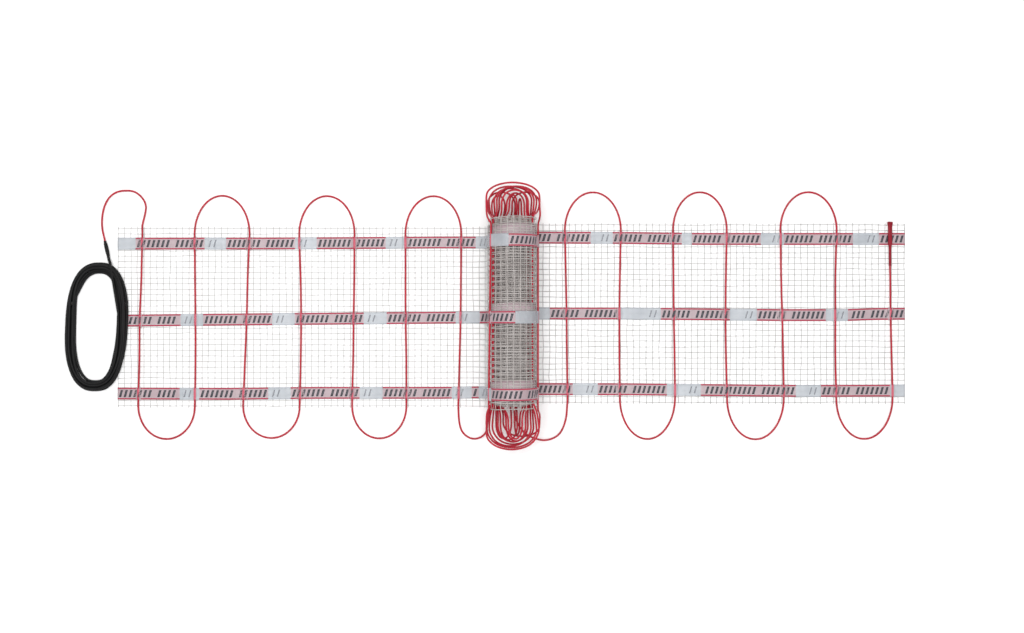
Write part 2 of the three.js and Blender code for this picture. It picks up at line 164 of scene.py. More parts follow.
def polypropyleneTape(name, dark, light, alpha, roughness):
    # Blown polypropylene film: milky and see-through, glossy, with faint stretch wrinkles.
    material = newMaterial(name)
    coords = addNode(material, "ShaderNodeTexCoord").outputs["Object"]
    colour = colourSpread(material, coords, 40, dark, light)
    normal = roughBump(material, coords, 7, 0.35, 0.4, 2)
    shader = addNode(material, "ShaderNodeBsdfPrincipled",
                     {"Roughness": roughness, "IOR": 1.49, "Alpha": alpha},
                     {"Base Color": colour, "Normal": normal})
    return finishMaterial(material, shader)


def printingInk(name, dark, light, alpha):
    # Flexographic ink on film: thin and a little uneven, so the film shows through in specks.
    material = newMaterial(name)
    coords = addNode(material, "ShaderNodeTexCoord").outputs["Object"]
    colour = colourSpread(material, coords, 3, dark, light)
    shader = addNode(material, "ShaderNodeBsdfPrincipled",
                     {"Roughness": 0.4, "IOR": 1.49, "Alpha": alpha}, {"Base Color": colour})
    return finishMaterial(material, shader)


redSheath = pvcSheath("redPvcSheath", "#A30E26", "#B5142D", 0.42, 0.3)
blackSheath = pvcSheath("blackPvcSheath", "#0A0A0B", "#131314", 0.55, 0.2)
redSleeve = pvcSheath("darkRedHeatShrink", "#7A0B1D", "#8F0F24", 0.5, 0.22)
blackSleeve = pvcSheath("blackHeatShrink", "#09090A", "#111112", 0.6, 0.2)
# One net in three tones, each picked to match the photo where that part of the net lies. The right sheet's
# greyer tone and the rolled net's darker tone are painted shade.
paleScrim = glassFibreScrim("paleGlassFibreScrim", "#B6B4B2", "#CAC9C8")
greyShadedScrim = glassFibreScrim("greyGlassFibreScrimPaintedShade", "#A5A3A1", "#C2C1C0")
rollShadedScrim = glassFibreScrim("rolledGlassFibreScrimPaintedShade", "#A29B98", "#B9B3B0")
clearTape = polypropyleneTape("clearPolypropyleneTape", "#BDC3CA", "#CED3D9", 0.45, 0.22)
tintedTape = polypropyleneTape("tintedPolypropyleneTape", "#BEA8AE", "#CAB7BC", 0.6, 0.25)
# Film on the cable: pink for the red cable seen through it, with a painted highlight on the raised film.
stuckTapeHighlight = polypropyleneTape("polypropyleneTapeOnCablePaintedHighlight", "#DE5E74", "#EA7488", 0.5, 0.2)
redInk = printingInk("redPrintingInk", "#AC1F3E", "#BA3350", 0.92)
greyInk = printingInk("greyPrintingInk", "#34343A", "#4A4A52", 0.9)
paleInk = printingInk("palePrintingInk", "#8E9299", "#9EA2A9", 0.3)
print("materials made")


# Meshes and curves

def linkPiece(obj, replaced):
    bpy.context.scene.collection.objects.link(obj)
    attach(obj, body)
    if replaced:
        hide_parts(*replaced)
    return obj


def meshPiece(name, vertices, faces, materials, replaced=(), faceMaterials=None):
    mesh = bpy.data.meshes.new(name)
    mesh.from_pydata([tuple(v) for v in np.asarray(vertices) * mm], [], faces)
    for material in materials:
        mesh.materials.append(material)
    mesh.polygons.foreach_set("use_smooth", [True] * len(mesh.polygons))
    if faceMaterials is not None:
        mesh.polygons.foreach_set("material_index", faceMaterials)
    mesh.update()
    return linkPiece(bpy.data.objects.new(name, mesh), replaced)


def cordCurve(name, points, diameter, material, replaced):
    data = bpy.data.curves.new(name, "CURVE")
    data.dimensions = "3D"
    data.bevel_depth = diameter / 2 * mm
    data.bevel_resolution = 4
    data.use_fill_caps = True
    spline = data.splines.new("POLY")
    spline.points.add(len(points) - 1)
    for target, point in zip(spline.points, points):
        target.co = (*(np.asarray(point) * mm), 1)
    data.materials.append(material)
    return linkPiece(bpy.data.objects.new(name, data), replaced)


def smoothRoute(points, step):
    # Catmull-Rom through the points, then evenly spaced along its length.
    points = np.asarray(points, float)
    padded = np.vstack([2 * points[0] - points[1], points, 2 * points[-1] - points[-2]])
    fine = []
    for a, b, c, d in zip(padded[:-3], padded[1:-2], padded[2:-1], padded[3:]):
        for t in np.linspace(0, 1, 12, endpoint=False):
            fine.append(0.5 * (2 * b + (c - a) * t + (2 * a - 5 * b + 4 * c - d) * t * t
                               + (3 * b - a - 3 * c + d) * t ** 3))
    fine.append(points[-1])
    return evenSteps(np.array(fine), step)


def routeLength(points):
    return float(np.linalg.norm(np.diff(points, axis=0), axis=1).sum())


def evenSteps(points, step):
    along = np.concatenate([[0], np.cumsum(np.linalg.norm(np.diff(points, axis=0), axis=1))])
    count = max(2, int(round(along[-1] / step)) + 1)
    places = np.linspace(0, along[-1], count)
    return np.stack([np.interp(places, along, points[:, i]) for i in range(3)], axis=1)


def sweptTube(points, radius, sides, squash=None):
    # Rings along a route with frames carried from one to the next. radius may change along it.
    points = np.asarray(points, float)
    radius = np.broadcast_to(radius, len(points))
    tangents = np.gradient(points, axis=0)
    tangents /= np.linalg.norm(tangents, axis=1)[:, None]
    side = np.cross(tangents[0], (0, 0, 1.0))
    if np.linalg.norm(side) < 0.1:
        side = np.array((1.0, 0, 0))
    vertices = []
    angles = np.arange(sides) * 2 * math.pi / sides
    for i, tangent in enumerate(tangents):
        side = side - tangent * side.dot(tangent)
        side /= np.linalg.norm(side)
        up = np.cross(side, tangent)
        flat = 1 if squash is None else squash[i]
        ring = np.outer(np.cos(angles), side) * radius[i] + np.outer(np.sin(angles), up) * radius[i] * flat
        vertices.append(points[i] + ring)
    vertices = np.vstack(vertices)
    return vertices, tubeFaces(len(points), sides)


def tubeFaces(rings, sides, first=0):
    faces = []
    for i in range(rings - 1):
        low = first + i * sides
        for k in range(sides):
            nextK = (k + 1) % sides
            faces.append((low + k, low + nextK, low + sides + nextK, low + sides + k))
    faces.append(tuple(first + k for k in reversed(range(sides))))
    top = first + (rings - 1) * sides
    faces.append(tuple(top + k for k in range(sides)))
    return faces


def ease(value):
    value = np.clip(value, 0, 1)
    return value * value * (3 - 2 * value)


# Free end of the heating cable, splice sleeve and cold lead

tail = {
    "diameter": 3.6,
    "root": (-737.2, 179.8),
    "rootHeight": 2.9,
    "floorHeight": 1.9,
    "route": [(-735.4, 188), (-731.8, 204), (-730.1, 218.6), (-734.3, 231.4), (-744.1, 242.6), (-755.5, 249),
              (-769.5, 250.4), (-786.3, 248.2), (-800.3, 239.8), (-810.1, 225.8), (-815.7, 208.8),
              (-817.9, 190.6), (-817.1, 173.8)],
}
splice = {
    "start": (-811.5, 150),
    "end": (-804.5, 119.5),
    "diameter": 7.4,
    "height": 3.8,
    "overlap": 2.5,      # how far each cable goes into the sleeve
}
lead = {
    "diameter": 5.6,
    "x": -828.4,
    "y": -21.8,
    "halfWidth": 63.3,
    "halfHeight": 129.5,
    "squareness": 2.5,    # 2 is an ellipse, more is nearer to a rectangle
    "slant": 0.035,
    "bundle": 23,
    "layerHeight": 4.7,
    "turns": 6.74,
    "stepsPerTurn": 72,
    "startAngle": 61,     # degrees, upper right
    "entry": 0.115,       # share of a turn by which the lead has come into the coil
    "turnLength": 589,    # about the way once round the coil
    "laneChange": (0.66, 0.14),    # where in a turn a strand starts to change lanes, and over how much of it
    "wander": 1.2,
    "meshEdge": -789,
    "meshHeight": 1.3,
    # seats of the turns in the bundle, as [lane, layer], in the order they are laid
    "seats": [(-1.0, 1), (0.1, 1), (1.1, 1), (1.5, 0), (0.5, 0), (-1.5, 0), (-0.5, 0), (-0.5, 0)],
}


def makeTail():
    ax, ay = np.array(splice["end"]) - np.array(splice["start"])
    length = math.hypot(ax, ay)
    inward = np.array((ax / length, ay / length))
    before = np.array(splice["start"]) - inward * 7
    inside = np.array(splice["start"]) + inward * splice["overlap"]
    points = [(*tail["root"], tail["rootHeight"]), (*tail["route"][0], tail["rootHeight"])]
    points += [(x, y, tail["floorHeight"]) for x, y in tail["route"][1:]]
    points += [(*before, splice["height"] - 0.4), (*inside, splice["height"])]
    route = smoothRoute(points, 3)
    obj = cordCurve("cable_tail_end", route, tail["diameter"], redSheath, ["cable_tail"])
    return obj, route


def hankPoint(turn, lateral):
    # A point of the coil: turn 0 is at its upper right, where the lead comes in, and turns go clockwise.
    angle = math.radians(lead["startAngle"]) - 2 * math.pi * turn
    power = 2 / lead["squareness"]
    wide = lead["halfWidth"] - lead["bundle"] / 2 + lateral
    high = lead["halfHeight"] - lead["bundle"] / 2 + lateral
    x = wide * math.copysign(abs(math.cos(angle)) ** power, math.cos(angle))
    y = high * math.copysign(abs(math.sin(angle)) ** power, math.sin(angle))
    return x + lead["slant"] * y, y


def makeLead():
    rng = np.random.default_rng(5)
    pitch = lead["diameter"]
    seats = lead["seats"]
    knots = rng.normal(0, lead["wander"], 64)
    coil = []
    count = int(lead["turns"] * lead["stepsPerTurn"])
    for i in range(count + 1):
        turn = i / lead["stepsPerTurn"]
        here, after = seats[int(turn)], seats[int(turn) + 1]
        # strands change lanes in the upper half of the left limb
        change = ease((turn % 1 - lead["laneChange"][0]) / lead["laneChange"][1])
        lateral = (here[0] + (after[0] - here[0]) * change) * pitch
        level = here[1] + (after[1] - here[1]) * change
        wander = np.interp(turn * 8, np.arange(64), knots)
        x, y = hankPoint(turn, lateral + wander)
        onMesh = float(ease((x + lead["x"] - lead["meshEdge"] + 10) / 10)) * lead["meshHeight"]
        z = lead["diameter"] / 2 + level * lead["layerHeight"] + onMesh + 0.05
        coil.append((x + lead["x"], y + lead["y"], z))
    coil = evenSteps(np.array(coil), 6)
    along = np.concatenate([[0], np.cumsum(np.linalg.norm(np.diff(coil, axis=0), axis=1))])
    coil = coil[along > lead["entry"] * lead["turnLength"]]
    sleeveEnd = np.array(splice["end"])
    inward = (sleeveEnd - np.array(splice["start"]))
    inward /= np.linalg.norm(inward)
    inside = sleeveEnd - inward * splice["overlap"]
    after = sleeveEnd + inward * 9
    across = sleeveEnd + inward * 21 + (1.5, 0)
    head = [(*inside, splice["height"]), (*after, splice["height"] + 1.5), (*across, 8.6)]
    route = smoothRoute(head + [tuple(p) for p in coil], 4)
    obj = cordCurve("cold_lead_coil", route, lead["diameter"], blackSheath,
                    ["cold_lead", "cold_lead_hank"])
    return obj, route


def makeSplice():
    start, end = np.array(splice["start"]), np.array(splice["end"])
    shares = [0, 0.02, 0.08, 0.16, 0.22, 0.4, 0.5, 0.6, 0.78, 0.84, 0.92, 0.98, 1]
    radii = [2.1, 2.5, 2.6, 3.0, 3.6, 3.7, 3.55, 3.7, 3.65, 3.3, 3.15, 3.1, 2.9]
    points = [(*(start + (end - start) * t), splice["height"]) for t in shares]
    vertices, faces = sweptTube(points, np.array(radii), 20)
    return meshPiece("splice_sleeve_shrunk", vertices, faces, [blackSleeve],
                     ["splice_sleeve"])


def makeCoreEnds(route):
    # The lead's cut end: two insulated cores and the bare earth wire, a few millimetres long.
    end, direction = route[-1], route[-1] - route[-2]
    direction /= np.linalg.norm(direction)
    side = np.cross(direction, (0, 0, 1.0))
    vertices, faces, kinds = [], [], []
    for i, (across, up, kind) in enumerate([(-1.1, -0.5, 0), (1.1, -0.5, 1), (0, 1.1, 2)]):
        base = end + side * across + np.array((0, 0, up))
        points = [base - direction * 1, base + direction * (3 + i), base + direction * (5 + i)]
        radius = 0.85 if kind < 2 else 0.6
        tubeVertices, _ = sweptTube(points, radius, 10)
        newFaces = tubeFaces(3, 10, len(vertices) * 30)
        vertices.append(tubeVertices)
        faces += newFaces
        kinds += [kind] * len(newFaces)
    colours = [pvcSheath("brownCoreInsulation", "#4A2A1C", "#57321F", 0.4, 0.5),
               pvcSheath("blueCoreInsulation", "#1F4C8C", "#27579A", 0.4, 0.5), tinnedCopper()]
    return meshPiece("lead_core_ends", np.vstack(vertices), faces, colours, (), kinds)


def tinnedCopper():
    # Tinned copper strand: bright, a little dulled by handling.
    material = newMaterial("tinnedCopper")
    coords = addNode(material, "ShaderNodeTexCoord").outputs["Object"]
    colour = colourSpread(material, coords, 1.5, "#A8A29A", "#C9C4BC")
    shader = addNode(material, "ShaderNodeBsdfPrincipled", {"Roughness": 0.35, "Metallic": 1.0},
                     {"Base Color": colour})
    return finishMaterial(material, shader)


tailObj, tailRoute = makeTail()
leadObj, leadRoute = makeLead()
spliceObj = makeSplice()
coreObj = makeCoreEnds(leadRoute)
print("cords made: tail", round(routeLength(tailRoute)), "mm, cold lead", round(routeLength(leadRoute)), "mm")


# The mat's own surface. A place on it is s along the sheet, y across it and lift above its back face.

mat = {
    "halfLength": 787,
    "width": 365,
    "thickness": 0.8,
    "rollRadius": 50,
    "rollX": 3.4,
    "bendRadius": 20,
    "turnPitch": 5.8,    # two layers of mesh, a little apart where the cable lies between them
    "leftWound": 1225,   # length inside the roll
    "rightWound": 1225,
    # how far a winding has crept along the roll, at distances wound
    "leftCreep": [(0, 0), (150, 0.5), (290, 11.5), (430, 13.9), (570, 8.4), (690, 8), (800, 13), (900, 10),
                  (1000, 4), (1225, 8)],
    "rightCreep": [(0, 0), (60, 3.5), (150, 9.6), (240, 8.5), (400, 1.3), (520, 1.8), (650, 7), (780, 5),
                   (900, -0.6), (1225, 3)],
    "leftOffset": -2.2,
    "rightOffset": 4.8,
}
rollR, rollX, thick = mat["rollRadius"], mat["rollX"], mat["thickness"]
bendX = rollX - rollR - mat["bendRadius"]
bendZ = thick + mat["bendRadius"]
bendLength = mat["bendRadius"] * math.pi / 2
riser = rollR - bendZ
leftStart = -(riser + bendLength + bendX + mat["halfLength"])
rightStart = -(mat["halfLength"] - rollX)


def leftPlace(s, y, lift):
    # s is 0 where the sheet meets the roll's left side; it winds clockwise from there, and lies flat below 0.
    s, y, lift = np.broadcast_arrays(np.asarray(s, float), y, lift)
    pitch = mat["turnPitch"]
    wound = np.clip(s, 0, None)
    turn = (2 * math.pi / pitch) * (rollR - np.sqrt(rollR ** 2 - pitch * wound / math.pi))
    radius = rollR - thick - pitch * turn / (2 * math.pi) + lift
    x = rollX - radius * np.cos(turn)
    z = rollR + radius * np.sin(turn)
    upright = (s < 0) & (s > -riser)
    x = np.where(upright, rollX - rollR + thick - lift, x)
    z = np.where(upright, rollR + s, z)
    along = -s - riser
    bending = (along >= 0) & (along < bendLength)
    angle = np.clip(along, 0, bendLength) / mat["bendRadius"]
    inner = mat["bendRadius"] + thick - lift
    x = np.where(bending, bendX + inner * np.cos(angle), x)
    z = np.where(bending, bendZ - inner * np.sin(angle), z)
    flat = along >= bendLength
    x = np.where(flat, bendX - (along - bendLength), x)
    z = np.where(flat, lift, z)
    return np.stack([x, y, z], axis=-1)


def rightPlace(s, y, lift):
    # s is 0 under the roll's axis; it winds clockwise from there inside the other sheet, cable side inwards.
    s, y, lift = np.broadcast_arrays(np.asarray(s, float), y, lift)
    pitch = mat["turnPitch"]
    quarter = rollR * math.pi / 2
    first = np.clip(s, 0, quarter) / rollR
    inner = rollR - thick
    rest = np.clip(s - quarter, 0, None)
    more = (2 * math.pi / pitch) * (inner - np.sqrt(inner ** 2 - pitch * rest / math.pi))
    turn = first + more
    radius = rollR - thick * ease(first / (math.pi / 2)) - pitch * more / (2 * math.pi) - lift
    x = rollX - radius * np.sin(turn)
    z = rollR - radius * np.cos(turn)
    flat = s < 0
    x = np.where(flat, rollX - s, x)
    z = np.where(flat, lift, z)
    return np.stack([x, y, z], axis=-1)


def leftDrift(s):
    # How far the left sheet's middle lies off the centre line.
    return mat["leftOffset"] + np.interp(s, *zip(*mat["leftCreep"]))


def rightDrift(s):
    return mat["rightOffset"] + np.interp(s, *zip(*mat["rightCreep"]))


# Net of threads

net = {
    "span": 355,          # first to last thread that runs along the mat
    "warpPitch": 11.09,   # between the threads that run along the mat
    "weftPitch": 12.9,    # between those that cross it
    "width": 1.3,
    "rollWidth": 1.7,     # the windings press the threads flatter
    "height": 0.36,
    "wave": 0.19,         # how far a thread goes over and under
    "wander": 0.5,
    "edge": 4,            # weft ends stand out past the last warp thread
    "sides": 6,
}


def netPiece(name, place, drift, sFrom, sTo, width, material, seed):
    rng = np.random.default_rng(seed)
    sides = net["sides"]
    angles = np.arange(sides) * 2 * math.pi / sides
    acrossRing = width / 2 * np.cos(angles)
    upRing = net["height"] / 2 * np.sin(angles)
    warpCount = int(round(net["span"] / net["warpPitch"])) + 1
    weftCount = int((sTo - sFrom - 2) / net["weftPitch"]) + 1
    warpY = np.linspace(-net["span"] / 2, net["span"] / 2, warpCount)
    weftS = sFrom + 1 + np.arange(weftCount) * net["weftPitch"]
    middle = thick / 2
    vertices, faces, first = [], [], 0

    def wave(count, scale):
        # a slow irregular wander along one thread
        knots = rng.normal(0, scale, count // 6 + 3)
        return np.interp(np.arange(count), np.linspace(0, count - 1, len(knots)), knots)

    for j, yThread in enumerate(warpY):
        s = np.linspace(sFrom, sTo, 2 * weftCount)
        phase = (s - weftS[0]) / net["weftPitch"] * math.pi + (j % 2) * math.pi
        lift = middle + net["wave"] * np.cos(phase)
        y = yThread + drift(s) + wave(len(s), net["wander"])
        ring = place(s[:, None], y[:, None] + acrossRing, lift[:, None] + upRing)
        vertices.append(ring.reshape(-1, 3))
        faces += tubeFaces(len(s), sides, first)
        first += len(s) * sides
    for i, sThread in enumerate(weftS):
        low = warpY[0] - net["edge"] * rng.uniform(0.5, 1)
        high = warpY[-1] + net["edge"] * rng.uniform(0.5, 1)
        y = np.linspace(low, high, 2 * warpCount)
        phase = (y - warpY[0]) / (warpY[1] - warpY[0]) * math.pi + (i % 2) * math.pi
        lift = middle - net["wave"] * np.cos(phase)
        s = np.clip(sThread + wave(len(y), net["wander"]), sFrom, sTo)
        shifted = y + drift(np.full(len(y), sThread))
        ring = place(s[:, None] + acrossRing, shifted[:, None], lift[:, None] + upRing)
        vertices.append(ring.reshape(-1, 3))
        faces += tubeFaces(len(y), sides, first)
        first += len(y) * sides
    return meshPiece(name, np.vstack(vertices), faces, [material], ["glass_fibre_mesh"])


# The right sheet and the roll use the scrim tones that have painted shade in them.
netPiece("mesh_left_sheet", leftPlace, leftDrift, leftStart, 0, net["width"], paleScrim, 11)
netPiece("mesh_right_sheet", rightPlace, rightDrift, rightStart, 0, net["width"], greyShadedScrim, 12)
netPiece("mesh_roll_outer", leftPlace, leftDrift, 0.5, mat["leftWound"], net["rollWidth"], rollShadedScrim, 13)
netPiece("mesh_roll_inner", rightPlace, rightDrift, 0.5, mat["rightWound"], net["rollWidth"], rollShadedScrim, 14)
print("net made")


# Heating cable, from the tail through every run and loop to the end seal

cable = {
    "diameter": 3.6,
    "sides": 10,
    "lift": 2.75,         # cable centre above the sheet's back face
    "floor": 1.9,
    "drop": 22,
    "firstRun": 44.5,
    "leftPitch": 106.6,
    "lastRun": 28,
    "rightPitch": 108.2,
    "flatRuns": 7,
    "woundRuns": 12,
    "woundPitch": 103,
    "leftWoundFrom": 148,    # one pitch before the first left run that is hidden in the roll
    "rightWoundFrom": -2,
    "slip": 60,           # how far a run may move to keep off the roll's top
    # where a loop starts to bend and where it ends, along Y
    "leftTop": (164, 239.8),
    "leftBottom": (-180, -245.2),
    "rightTop": (171, 248),
    "rightBottom": (-164, -246.5),
    "woundTip": 259,
    "shoulder": 16,       # how much shorter the loops at the sides of a bunch reach
    "splay": 57,          # loops keep inside this radius round the roll's axis
    "spacing": 3.8,       # centre to centre, where loops touch
    "topAngle": 1.0,      # runs inside the roll keep this far from its top, in radians
    # the loops that lead into the roll: the left one goes up its side, the right one comes from under it
    "leftEntry": [(-104, -212, 2.2), (-97, -233, 1.9), (-80, -245, 1.9), (-62, -243, 2.2), (-50, -230, 12),
                  (-49, -206, 40)],
    "rightEntry": [(9, -206, 2), (26, -233, 1.9), (48, -245, 1.9), (72, -248, 1.9), (96, -236, 1.9),
                   (109, -206, 2)],
    # each flat run: aside, leaning from top to bottom, bowed in the middle
    "leftShapes": [(1.4, -8.4, -0.6), (3.5, 0.5, 1.5), (0, -13, 0), (-0.5, 1, 3), (0.5, -5, 0.5),
                   (-1, 2, 0), (0, -6, 1.5)],
    "rightShapes": [(0, 5.5, 0.5), (0, -2, -2), (-1, 4, 0), (-3.5, 0.5, -2.5), (-1.5, 7, 0),
                    (-1, -1, -3), (0, 5.5, -1)],
    # the first two runs on the outside of the roll, at their top and bottom
    "outerRuns": [(30, 21), (151, 146)],
}
# The loops that stand out of the roll's ends
bunch = {
    "legs": [(0.6, 0.14), (0.95, 0.36), (1, 0.66)],    # shares of the spread and of the reach, along a leg
    "round": (0.82, 0.18),    # shares of the near and the far leg at the corners of a top
    "topDrop": 0.09,
    "heights": (27, 76),
    "margin": 2,
    "scatter": 0.8,
    "nesting": 1.9,       # how much less far each narrower loop reaches
    "shortfall": 3,
    "lowerRight": 18,     # how much less far the loops at the lower end's right side reach
    "clearance": 4,
    "pushes": 90,
    "softPushes": 80,
    "spreading": 3,
    "strength": 1.6,
}
seal = {
    "end": 188,
    "length": 88,
    "lift": 4.5,
}


placeOf = {"left": leftPlace, "right": rightPlace}
driftOf = {"left": leftDrift, "right": rightDrift}


def besideTop(side, s):
    # A run that would lie at the roll's top has slipped to the nearer side as the mat was wound.
    for shift in range(cable["slip"]):
        for place in (s - shift, s + shift):
            x, _, z = placeOf[side](place, 0, cable["lift"])
            if abs(math.atan2(x - rollX, z - rollR)) > cable["topAngle"]:
                return place
    return s


def cableRuns():
    # Every run from the first to the last, as [side, s at its top, s at its bottom, bow].
    runs = []
    for i, (aside, lean, bow) in enumerate(cable["leftShapes"]):
        s = leftStart + cable["firstRun"] + i * cable["leftPitch"] + aside
        runs.append(("left", s - lean / 2, s + lean / 2, bow))
    for top, bottom in cable["outerRuns"]:
        runs.append(("left", top, bottom, 0))
    for i in range(2, cable["woundRuns"]):
        s = besideTop("left", cable["leftWoundFrom"] + (i - 1) * cable["woundPitch"])
        runs.append(("left", s, s, 0))
    for i in reversed(range(cable["woundRuns"])):
        s = besideTop("right", i * cable["woundPitch"] + cable["rightWoundFrom"])
        runs.append(("right", s, s, 0))
    for i, (aside, lean, bow) in enumerate(cable["rightShapes"]):
        k = cable["flatRuns"] - 1 - i
        s = rightStart + cable["lastRun"] + k * cable["rightPitch"] - aside
        runs.append(("right", s + lean / 2, s - lean / 2, -bow))
    return runs


def loopBase(side, s, end):
    # Where the bend of a loop starts and where its tip is, along Y.
    if s < -20:
        return cable[side + ("Top" if end > 0 else "Bottom")]
    edge = end * mat["width"] / 2 + float(driftOf[side](np.array(s)))
    return edge, end * cable["woundTip"]


def runRoute(run, down, rng):
    side, sTop, sBottom, bow = run
    top, bottom = loopBase(side, sTop, 1)[0], loopBase(side, sBottom, -1)[0]
    share = np.linspace(0, 1, 26)
    if not down:
        share = 1 - share
    bend = rng.normal(0, 0.5, 5)
    wander = (bow + np.interp(share, [0, 0.25, 0.5, 0.75, 1], bend)) * np.sin(np.pi * share)
    s = sTop + (sBottom - sTop) * share + wander
    return placeOf[side](s, top + (bottom - top) * share, cable["lift"])


def flatLoop(a, b, end, rng):
    # Half an ellipse past the mesh's edge, down onto the floor.
    index = 1 if end > 0 else 2
    base, tip = loopBase(a[0], a[index], end)
    tip += rng.normal(0, 1)
    u = np.linspace(0, math.pi, 42)[1:-1]
    s = a[index] + (b[index] - a[index]) * (1 - np.cos(u)) / 2
    y = base + (tip - base) * np.sin(u)
    edge = end * mat["width"] / 2 + driftOf[a[0]](s)
    beyond = np.clip((y - edge) * end, 0, None)
    lift = cable["lift"] - ease(beyond / cable["drop"]) * (cable["lift"] - cable["floor"])
    return placeOf[a[0]](s, y, lift)


def freeLoop(start, stop, aside, tip, height):
    # A loop past the roll's end: its legs spread to the two places aside, then meet in a round top.
    a, b = np.array(start), np.array(stop)
    outA, outB = np.array((aside[0], tip, height)), np.array((aside[1], tip, height))

    def toward(foot, target, spread, reach):
        point = foot + (target - foot) * spread
        point[1] = foot[1] + (tip - foot[1]) * reach
        return point

    top = (outA + outB) / 2
    drop = np.array((0, (tip - a[1]) * bunch["topDrop"], 0))
    near, far = bunch["round"]
    points = [a] + [toward(a, outA, *leg) for leg in bunch["legs"]]
    points += [outA * near + outB * far - drop, top, outB * near + outA * far - drop]
    points += [toward(b, outB, *leg) for leg in reversed(bunch["legs"])] + [b]
    return smoothRoute(points, 3)


def makeBunch(feet, end, rng):
    # All free loops of one end. Their legs fan out in the order in which they leave the roll, the wide loops
    # reach furthest, and each lies at its own height.
    across = np.array([[start[0], stop[0]] for start, stop in feet])
    order = across.ravel().argsort().argsort().reshape(across.shape)
    even = rollX + (2 * order / (across.size - 1) - 1) * (cable["splay"] - bunch["margin"])
    widths = np.abs(even[:, 1] - even[:, 0])
    place = (-widths).argsort().argsort()
    means = np.array([(start[2] + stop[2]) / 2 for start, stop in feet])
    levels = np.linspace(*bunch["heights"], len(feet))[means.argsort().argsort()]
    loops = []
    for k, (start, stop) in enumerate(feet):
        places = even[k] + rng.normal(0, bunch["scatter"], 2)
        middle = (places.mean() - rollX) / cable["splay"]
        tip = cable["woundTip"] - cable["shoulder"] * middle ** 2 - place[k] * bunch["nesting"]
        tip -= rng.uniform(0, bunch["shortfall"])
        if end < 0:
            tip -= bunch["lowerRight"] * ease((middle - 0.05) / 0.5)
        loops.append(insideSplay(freeLoop(start, stop, places, end * tip, levels[k])))
    return pushApart(loops, cable["woundTip"] + bunch["clearance"])


def insideSplay(points):
    x, z = points[:, 0] - rollX, points[:, 2] - rollR
    radius = np.maximum(np.hypot(x, z), 1e-6)
    share = np.minimum(1, cable["splay"] / radius)
    points[:, 0] = rollX + x * share
    points[:, 2] = np.maximum(rollR + z * share, cable["floor"])
    return points


def pushApart(routes, tip):
    # Points of different loops that lie closer than the spacing are moved apart, again and again.
    sizes = [len(r) for r in routes]
    starts = np.cumsum([0] + sizes)
    owner = np.repeat(np.arange(len(routes)), sizes)
    points = np.vstack(routes)
    free = np.concatenate([np.clip(np.sin(np.linspace(0, math.pi, n)) * 3, 0, 1) for n in sizes])[:, None]
    for turn in range(bunch["pushes"]):
        gap = points[:, None, :] - points[None, :, :]
        distance = np.sqrt((gap ** 2).sum(axis=2))
        close = (distance < cable["spacing"]) & (owner[:, None] != owner[None, :])
        weight = np.where(close, (cable["spacing"] - distance) / np.maximum(distance, 0.05), 0)
        move = 0.5 * (gap * weight[:, :, None]).sum(axis=1) / np.maximum(close.sum(axis=1), 1)[:, None]
        if turn < bunch["softPushes"]:
            # a lone push is shared with its neighbours, so that the cable bends and doesn't kink
            for _ in range(bunch["spreading"]):
                move[1:-1] = (move[:-2] + 2 * move[1:-1] + move[2:]) / 4
            move *= bunch["strength"]
        points += move * free
        points = insideSplay(points)
        points[:, 1] = np.clip(points[:, 1], -tip, tip)
    return [points[starts[k]:starts[k + 1]] for k in range(len(routes))]


def makeCable():
    rng = np.random.default_rng(21)
    runs = cableRuns()
    firstWound, lastWound = cable["flatRuns"], cable["flatRuns"] + 2 * cable["woundRuns"] - 1
    parts, feet, places = [], {1: [], -1: []}, {1: [], -1: []}
    for i, run in enumerate(runs):
        down = i % 2 == 0
        parts.append(runRoute(run, down, rng))
        if i + 1 == len(runs):
            break
        end = -1 if down else 1
        if i < firstWound - 1 or i > lastWound:
            parts.append(flatLoop(run, runs[i + 1], end, rng))
            continue
        start, stop = parts[-1][-1], runRoute(runs[i + 1], not down, np.random.default_rng(0))[0]
        if i in (firstWound - 1, lastWound):
            between = cable["leftEntry" if i < firstWound else "rightEntry"]
            parts.append(smoothRoute([start, *between, stop], 3))
            continue
        feet[end].append((start, stop))
        places[end].append(len(parts))
        parts.append(None)
    for end in (1, -1):
        for k, route in zip(places[end], makeBunch(feet[end], end, rng)):
            parts[k] = route
    sealStart = seal["end"] - seal["length"]
    last = parts[-1]
    x = last[-1][0]
    ending = np.array([(x, sealStart - 5, seal["lift"] - 0.3), (x, sealStart + 3, seal["lift"])])
    parts[-1] = np.vstack([last[last[:, 1] < sealStart - 20], ending])
    head = np.array([(*tail["root"], tail["rootHeight"])])
    first = parts[0]
    parts[0] = np.vstack([head, first[first[:, 1] < tail["root"][1] - 4]])
    route = evenSteps(np.vstack(parts), 4)
    for _ in range(2):
        route[1:-1] = (route[:-2] + 2 * route[1:-1] + route[2:]) / 4
    vertices, faces = sweptTube(route, cable["diameter"] / 2, cable["sides"])
    replaced = ["heating_cable_left", "heating_cable_right"]
    replaced += [name for name in frame["nodes"] if name.startswith("roll_loop")]
    meshPiece("heating_cable_run", vertices, faces, [redSheath], replaced)
    print("heating cable made:", round(routeLength(route)), "mm")


makeCable()


